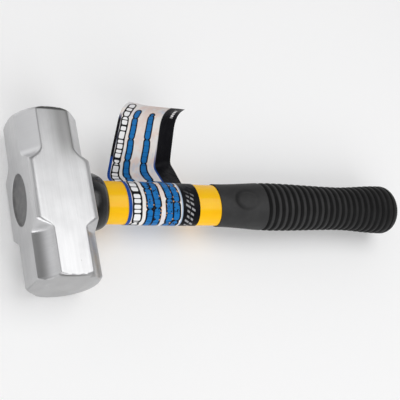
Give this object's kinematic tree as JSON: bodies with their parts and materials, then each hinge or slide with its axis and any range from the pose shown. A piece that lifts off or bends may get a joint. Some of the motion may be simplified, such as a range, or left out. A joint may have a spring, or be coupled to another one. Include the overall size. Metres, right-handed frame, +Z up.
{
  "type": "short-handled sledgehammer",
  "caption": "Hand sledge with a forged octagonal double-face steel head, oval fibreglass handle, collar, ribbed rubber grip and a film label.",
  "frame": {"origin": "centre of the lower cheek of the head, the flat face that the hammer lies on", "axes": "+Z up out of the upper cheek, +X along the handle from the head to the butt, +Y along the striking axis"},
  "size_m": [0.2928, 0.1161, 0.0512],
  "materials": {
    "forged_steel": "ground and satin brushed across the handle",
    "eye_resin": "cast dark grey resin, matte",
    "fibreglass": "pultruded glass rod, hidden inside",
    "yellow_jacket": "smooth gloss moulding",
    "collar_rubber": "smooth satin rubber",
    "grip_rubber": "matte moulded rubber with ribs",
    "label_print": "glossy printed film with plain abstract blocks"
  },
  "bodies": {
    "root": {"head": "forged_steel", "eye_resin": "eye_resin", "fibreglass_core": "fibreglass", "handle_jacket": "yellow_jacket", "overstrike_collar": "collar_rubber", "ribbed_grip": "grip_rubber", "label_film": "label_print"}
  },
  "joints": []
}
